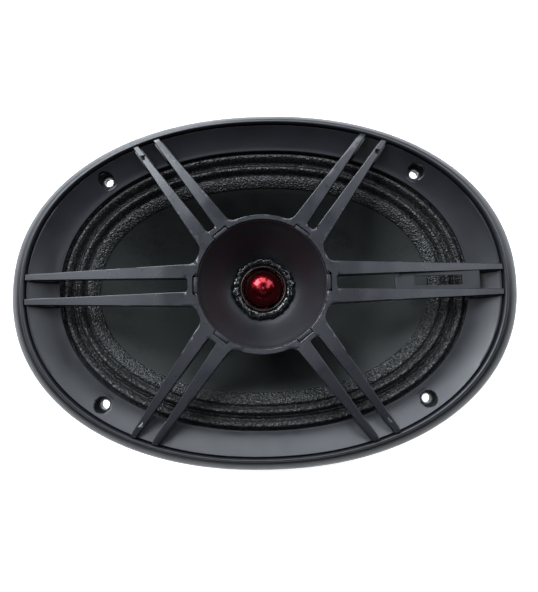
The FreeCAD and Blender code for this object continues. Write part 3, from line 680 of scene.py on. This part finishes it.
def make_cone():
    face = smooth([(86.2, 56.2, -0.35), (83.7, 53.7, -1.9), (81.0, 51.0, -3.6), (67.0, 44.2, -11.2),
                   (52.0, 37.4, -19.3), (37.0, 29.8, -27.8), (23.2, 23.2, -35.7), (13.0, 13.0, -42.0)], 6)
    fullness = np.interp([a for a, b, z in face], [37.0, 52.0, 67.0, 81.0], [2.0, 2.05, 2.1, FULL])
    top = [(a, b, z, full) for (a, b, z), full in zip(face, fullness)]
    under = [(a, b, z - 0.75, full) for a, b, z, full in reversed(top)]
    piece = oval_band("cone_finished", top + under, PAPER, segments=480)
    roughen(piece, 0.03, 1.6, 2)
    return finish(piece, "cone", "cone_assembly")


CLIP_ANGLES = (0.0, 51.8, 128.2, 180.0, 231.8, 308.2)


def make_horn():
    mouth = smooth([(30.75, 14.05), (30.45, 13.2), (29.6, 11.6), (28.0, 9.2), (25.6, 5.6), (22.6, 1.6),
                    (19.4, -1.8), (16.6, -4.0), (15.2, -5.0)], 6)
    back = [(11.2, -5.0), (11.2, -6.5), (17.5, -6.5), (17.5, -4.4), (20.6, -2.8), (23.8, 0.4), (26.9, 4.4),
            (29.2, 7.8), (30.0, 9.5), (31.1, 9.6), (31.1, 13.95), (30.95, 14.1)]
    piece = lathe("horn_finished", mouth + back, HORN, 256, sharp=50.0)
    finish(piece, "horn", "frame")
    for i, angle in enumerate(CLIP_ANGLES):
        clip = rounded_block("horn_clip_%d" % (i + 1), (30.9, 32.7), (-3.95, 3.95), (11.9, 14.6), 0.3, HORN)
        clip.data.transform(Matrix.Rotation(math.radians(angle), 4, "Z"))
        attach(clip, "frame")
    return piece


def rounded_block(name, xs, ys, zs, edge, material):
    mesh = bpy.data.meshes.new(name)
    shape = bmesh.new()
    bmesh.ops.create_cube(shape, size=1.0)
    for vertex in shape.verts:
        spans = zip((xs, ys, zs), vertex.co)
        vertex.co = Vector([(low + high) / 2 + (high - low) * c for (low, high), c in spans]) * MM
    bmesh.ops.bevel(shape, geom=shape.edges[:], offset=edge * MM, segments=3, profile=0.5, affect="EDGES")
    shape.to_mesh(mesh)
    shape.free()
    mesh.polygons.foreach_set("use_smooth", [True] * len(mesh.polygons))
    mesh.set_sharp_from_angle(angle=math.radians(50))
    mesh.materials.append(material)
    piece = bpy.data.objects.new(name, mesh)
    bpy.context.scene.collection.objects.link(piece)
    return piece


def make_glue_bead():
    """A smooth inner lip and a lumpy, hand-laid bead of glue outside it."""
    lip = arc((11.25, -4.2), 0.62, 175.0, 10.0, 9)
    bead = arc((13.6, -4.9), 2.0, 150.0, 0.0, 18)
    outline = [(10.7, -4.9)] + lip + bead + [(15.6, -5.6), (10.7, -5.6)]
    piece = lathe("glue_bead_finished", outline, GLUE, 300, sharp=60.0)
    seed = Vector((3.1, 7.7, 1.9))
    for vertex in piece.data.vertices:
        r = math.hypot(vertex.co.x, vertex.co.y) / MM
        if r < 12.2 or vertex.co.z / MM < -5.4:
            continue
        way = Vector((vertex.co.x, vertex.co.y, 0)).normalized()
        broad = noise.noise(way * 2.1 + seed)
        lump = noise.noise(vertex.co / (2.1 * MM) + seed)
        fine = noise.noise(vertex.co / (0.8 * MM) + seed)
        grow = (r - 12.2) / 3.4
        vertex.co += way * grow * (1.0 * broad + 0.85 * lump + 0.2 * fine + 0.55) * MM
        vertex.co.z += (0.35 * lump + 0.12 * fine + 0.35 * broad) * MM
    piece.data.update()
    return finish(piece, "glue_bead", "frame")


def make_bullet():
    nose = arc((0.0, -7.3), 10.3, 90.0, 0.0, 40)
    outline = [(0.0, 3.0)] + nose[1:] + [(10.3, -6.6), (2.4, -6.6), (2.4, -12.5), (0.0, -12.5)]
    piece = lathe("tweeter_bullet_finished", outline, RED, 200, closed=False)
    return finish(piece, "tweeter_bullet", "frame")


# Rear pieces ----------------------------------------------------------------------------------
def make_motor():
    plate = [(14.2, -54.0), (44.3, -54.0), (44.8, -54.25), (45.0, -54.8), (45.0, -59.2), (44.8, -59.75),
             (44.3, -60.0), (14.2, -60.0)]
    finish(lathe("top_plate_finished", plate, STEEL), "top_plate", "frame")
    ring = ([(24.0, -60.0)] + arc((48.6, -61.4), 1.4, 90.0, 0.0, 6) + arc((48.6, -74.6), 1.4, 0.0, -90.0, 6)
            + [(24.0, -76.0)])
    magnet = lathe("magnet_finished", ring, FERRITE, 200, sharp=35.0)
    finish(magnet, "magnet", "frame")
    back = ([(4.0, -54.0), (12.3, -54.0), (12.3, -74.0), (14.3, -76.0), (45.6, -76.0), (46.0, -76.4)]
            + arc((44.6, -80.6), 1.4, 0.0, -90.0, 7)
            + [(30.0, -82.0), (29.7, -81.7), (28.9, -81.7), (28.6, -82.0), (5.2, -82.0)]
            + [(4.4, -81.6), (4.0, -80.8)])
    finish(lathe("back_plate_finished", back, STEEL, 200), "back_plate", "frame")


def make_spider():
    count, waves = 180, 4.5
    top = [(13.35, -44.6)]
    for i in range(count + 1):
        top.append((17.0 + 24.0 * i / count, -44.6 + 1.1 * math.sin(2 * math.pi * waves * i / count)))
    top.append((46.0, -44.6))
    under = [(r, z - 0.4) for r, z in reversed(top)]
    piece = lathe("spider_finished", top + under, SPIDER, 300, sharp=60.0)
    roughen(piece, 0.02, 0.5, 3)
    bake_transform(piece)
    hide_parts("spider")


def make_dust_cap():
    radius = (22.4 ** 2 + 6.2 ** 2) / (2 * 6.2)
    centre = (0.0, -29.5 - radius)
    edge = math.degrees(math.asin((-35.7 - centre[1]) / radius))
    outer = arc(centre, radius, edge, 90.0, 24)
    inner = arc(centre, radius - 0.5, 90.0, edge, 24)
    piece = lathe("dust_cap_finished", outer + inner, PAPER, 160)
    finish(piece, "dust_cap", "cone_assembly")


def route_curve(name, points, radius, material):
    """A tube whose centre line is the smooth curve of a lead's route, points in millimetres."""
    data = bpy.data.curves.new(name, "CURVE")
    data.dimensions = "3D"
    data.bevel_depth = radius * MM
    data.bevel_resolution = 4
    data.resolution_u = 12
    spline = data.splines.new("NURBS")
    spline.points.add(len(points) - 1)
    for target, place in zip(spline.points, points):
        target.co = (*[c * MM for c in place], 1.0)
    spline.order_u = 3
    spline.use_endpoint_u = True
    curve = bpy.data.objects.new(name + "_curve", data)
    bpy.context.scene.collection.objects.link(curve)
    mesh = bpy.data.meshes.new_from_object(curve.evaluated_get(bpy.context.evaluated_depsgraph_get()))
    bpy.data.objects.remove(curve)
    mesh.materials.clear()
    mesh.materials.append(material)
    piece = bpy.data.objects.new(name, mesh)
    bpy.context.scene.collection.objects.link(piece)
    return piece


def make_tinsel_leads():
    for side, name in ((1, "tinsel_lead_positive"), (-1, "tinsel_lead_negative")):
        route = [(97.0, side * 9.0, -21.0), (97.0, side * 9.0, -16.6), (83.0, side * 9.0, -17.4),
                 (66.0, side * 8.4, -24.5), (53.0, side * 7.6, -33.0), (45.6, side * 7.2, -33.0),
                 (45.0, side * 7.0, -26.6)]
        piece = route_curve(name + "_braid", route, 0.8, TINSEL)
        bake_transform(piece)
        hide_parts(name)


def make_capacitor():
    length, radius = 16.0, 3.6
    end = arc((radius - 0.7, length / 2 - 0.7), 0.7, 90.0, 0.0, 5)
    outline = [(0.0, length / 2 - 0.25), (radius - 1.0, length / 2 - 0.25)] + end
    outline += [(radius, 5.2), (radius - 0.35, 4.9), (radius - 0.35, 4.5), (radius, 4.2)]
    outline += [(r, -h) for r, h in reversed(outline[:2] + end)]
    piece = lathe("crossover_capacitor_finished", outline, SLEEVE, 80, closed=False)
    turn = Matrix.Rotation(math.radians(-90), 4, "X")
    piece.data.transform(Matrix.Translation(Vector((96.0, 0.0, -26.2)) * MM) @ turn)
    finish(piece, "crossover_capacitor", "frame")


# Radius of the rounded edges, in millimetres
ROUNDED_PARTS = {
    "badge_frame": 0.25, "mounting_eyelets": 0.3, "basket": 0.3, "motor_rivets": 0.45, "terminal_board": 0.2,
    "terminal_rivets": 0.3, "positive_tab": 0.15, "negative_tab": 0.15, "rear_gasket": 0.4, "cone_eyelets": 0.3,
}


def make_small_parts():
    """Hard-edged parts keep their shape from the frame and get rounded edges."""
    for name, edge in ROUNDED_PARTS.items():
        piece = rounded_copy(name, NODE_LOOKS[name], edge)
        finish(piece, name, "cone_assembly" if name == "cone_eyelets" else "frame")

make_small_parts()
make_trim_ring()
make_dish()
make_guard()
make_surround()
make_cone()
make_horn()
make_glue_bead()
make_bullet()
make_motor()
make_spider()
make_dust_cap()
make_tinsel_leads()
make_capacitor()
